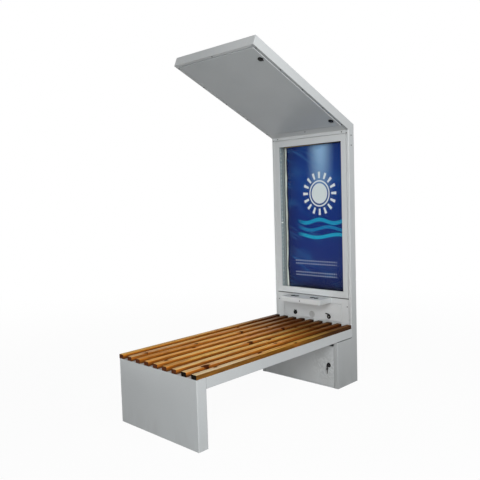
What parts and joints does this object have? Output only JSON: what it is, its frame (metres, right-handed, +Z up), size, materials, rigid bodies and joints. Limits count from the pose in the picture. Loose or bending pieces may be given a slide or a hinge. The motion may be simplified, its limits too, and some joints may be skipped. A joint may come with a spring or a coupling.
{
  "type": "solar charging bench",
  "caption": "Slatted bench between a box leg and a light box tower, with charging sockets on a shelf, a battery cabinet and a sloping solar canopy.",
  "frame": {"origin": "on the ground, at the middle of the overall box", "axes": "+Z up, +X along the seat from the leg to the tower, -Y the seat side that is nearest in the picture"},
  "size_m": [1.6704, 0.7548, 2.4376],
  "materials": {
    "powder_coat": "satin light grey powder coat on bent steel sheet",
    "slat_wood": "varnished pine with knots, darker at the ends",
    "steel": "plain steel",
    "screw_steel": "dull zinc",
    "lock_black": "black moulding",
    "lock_steel": "turned and plated",
    "key_metal": "dark plated key",
    "socket_black": "black moulding",
    "glazing": "clear sheet",
    "tray_white": "white paint",
    "led_diffuser": "opal cover",
    "poster_print": "printed sheet",
    "battery_case": "moulded case",
    "controller_case": "anodised, finned",
    "cable_black": "cable sheath",
    "speaker_black": "pressed basket",
    "frame_aluminium": "anodised",
    "solar_glass": "tempered glass over dark cells"
  },
  "bodies": {
    "bench_frame": {"leg_shell": "powder_coat", "leg_inner_panel": "powder_coat", "leg_base_plate": "steel", "rail_front": "powder_coat", "rail_rear": "powder_coat", "bearers": "steel", "slat_screws": "screw_steel", "slat_1": "slat_wood", "slat_2": "slat_wood", "slat_3": "slat_wood", "slat_4": "slat_wood", "slat_5": "slat_wood", "slat_6": "slat_wood", "slat_7": "slat_wood", "slat_8": "slat_wood", "slat_9": "slat_wood", "side_plate_front": "powder_coat", "side_plate_rear": "powder_coat", "back_panel": "powder_coat", "tower_head": "powder_coat", "cabinet_floor": "steel", "cabinet_top": "powder_coat", "light_tray": "tray_white", "led_bars": "led_diffuser", "poster": "poster_print", "pivot_pins": "steel", "fascia_panel": "powder_coat", "console_housing": "powder_coat", "console_cover": "powder_coat", "usb_sockets": "socket_black", "battery": "battery_case", "charge_controller": "controller_case", "pv_cable": "cable_black", "canopy_pan": "powder_coat", "canopy_ribs": "steel", "pv_frame": "frame_aluminium", "pv_laminate": "solar_glass", "neck_brackets": "steel", "panel_screws": "screw_steel"},
    "poster_door": {"light_box_door": "powder_coat", "door_glazing": "glazing"},
    "flap": {"service_flap": "powder_coat", "flap_lock_housings": "lock_black", "speaker": "speaker_black"},
    "battery_door": {"cabinet_door": "powder_coat", "cabinet_lock_housing": "lock_black"},
    "hatch": {"canopy_hatch": "powder_coat", "hatch_lock_housings": "lock_black"},
    "flap_front_lock": {"flap_plug_front": "lock_steel"},
    "flap_rear_lock": {"flap_plug_rear": "lock_steel"},
    "cabinet_lock": {"cabinet_plug": "lock_steel", "cabinet_key": "key_metal"},
    "hatch_near_lock": {"hatch_plug_near": "lock_steel"},
    "hatch_far_lock": {"hatch_plug_far": "lock_steel"},
    "flap_front_cap": {"flap_cap_front": "lock_black"},
    "flap_rear_cap": {"flap_cap_rear": "lock_black"},
    "hatch_near_cap": {"hatch_cap_near": "lock_black"},
    "hatch_far_cap": {"hatch_cap_far": "lock_black"},
    "hanging_key": {"spare_key": "key_metal"}
  },
  "joints": [
    {"name": "poster_door_hinge", "type": "hinge", "parent": "bench_frame", "child": "poster_door", "pos_m": [0.7678, 0.341, 1.276], "axis": [0, 0, -1], "range_deg": [0, 110]},
    {"name": "flap_hinge", "type": "hinge", "parent": "bench_frame", "child": "flap", "pos_m": [0.7678, 0, 0.591], "axis": [0, 1, 0], "range_deg": [0, 60]},
    {"name": "battery_door_hinge", "type": "hinge", "parent": "bench_frame", "child": "battery_door", "pos_m": [0.5708, 0.33, 0.1635], "axis": [0, 0, -1], "range_deg": [0, 110]},
    {"name": "hatch_hinge", "type": "hinge", "parent": "bench_frame", "child": "hatch", "pos_m": [0.22306, 0.3425, 2.16921], "axis": [0.9184, 0, -0.3955], "range_deg": [0, 80]},
    {"name": "flap_front_lock_turn", "type": "hinge", "parent": "flap", "child": "flap_front_lock", "pos_m": [0.7608, -0.166, 0.49], "axis": [1, 0, 0], "range_deg": [0, 90]},
    {"name": "flap_front_cap_hinge", "type": "hinge", "parent": "flap", "child": "flap_front_cap", "pos_m": [0.7533, -0.166, 0.5081], "axis": [0, -1, 0], "range_deg": [0, 120]},
    {"name": "flap_rear_lock_turn", "type": "hinge", "parent": "flap", "child": "flap_rear_lock", "pos_m": [0.7608, 0.166, 0.49], "axis": [1, 0, 0], "range_deg": [0, 90]},
    {"name": "flap_rear_cap_hinge", "type": "hinge", "parent": "flap", "child": "flap_rear_cap", "pos_m": [0.7533, 0.166, 0.5081], "axis": [0, 1, 0], "range_deg": [0, 120]},
    {"name": "cabinet_lock_turn", "type": "hinge", "parent": "battery_door", "child": "cabinet_lock", "pos_m": [0.5638, -0.295, 0.171], "axis": [1, 0, 0], "range_deg": [0, 90]},
    {"name": "hatch_near_lock_turn", "type": "hinge", "parent": "hatch", "child": "hatch_near_lock", "pos_m": [0.6145, -0.3175, 1.98974], "axis": [0.3955, 0, 0.9184], "range_deg": [0, 90]},
    {"name": "hatch_near_cap_hinge", "type": "hinge", "parent": "hatch", "child": "hatch_near_cap", "pos_m": [0.61984, -0.33317, 1.97927], "axis": [-0.7954, -0.5, 0.3426], "range_deg": [0, 120]},
    {"name": "hatch_far_lock_turn", "type": "hinge", "parent": "hatch", "child": "hatch_far_lock", "pos_m": [-0.14873, -0.3175, 2.31844], "axis": [0.3955, 0, 0.9184], "range_deg": [0, 90]},
    {"name": "hatch_far_cap_hinge", "type": "hinge", "parent": "hatch", "child": "hatch_far_cap", "pos_m": [-0.14339, -0.33317, 2.30797], "axis": [-0.7954, -0.5, 0.3426], "range_deg": [0, 120]},
    {"name": "hanging_key_swing", "type": "hinge", "parent": "cabinet_lock", "child": "hanging_key", "pos_m": [0.5411, -0.295, 0.171], "axis": [0, 1, 0], "range_deg": [-15, 60]}
  ]
}
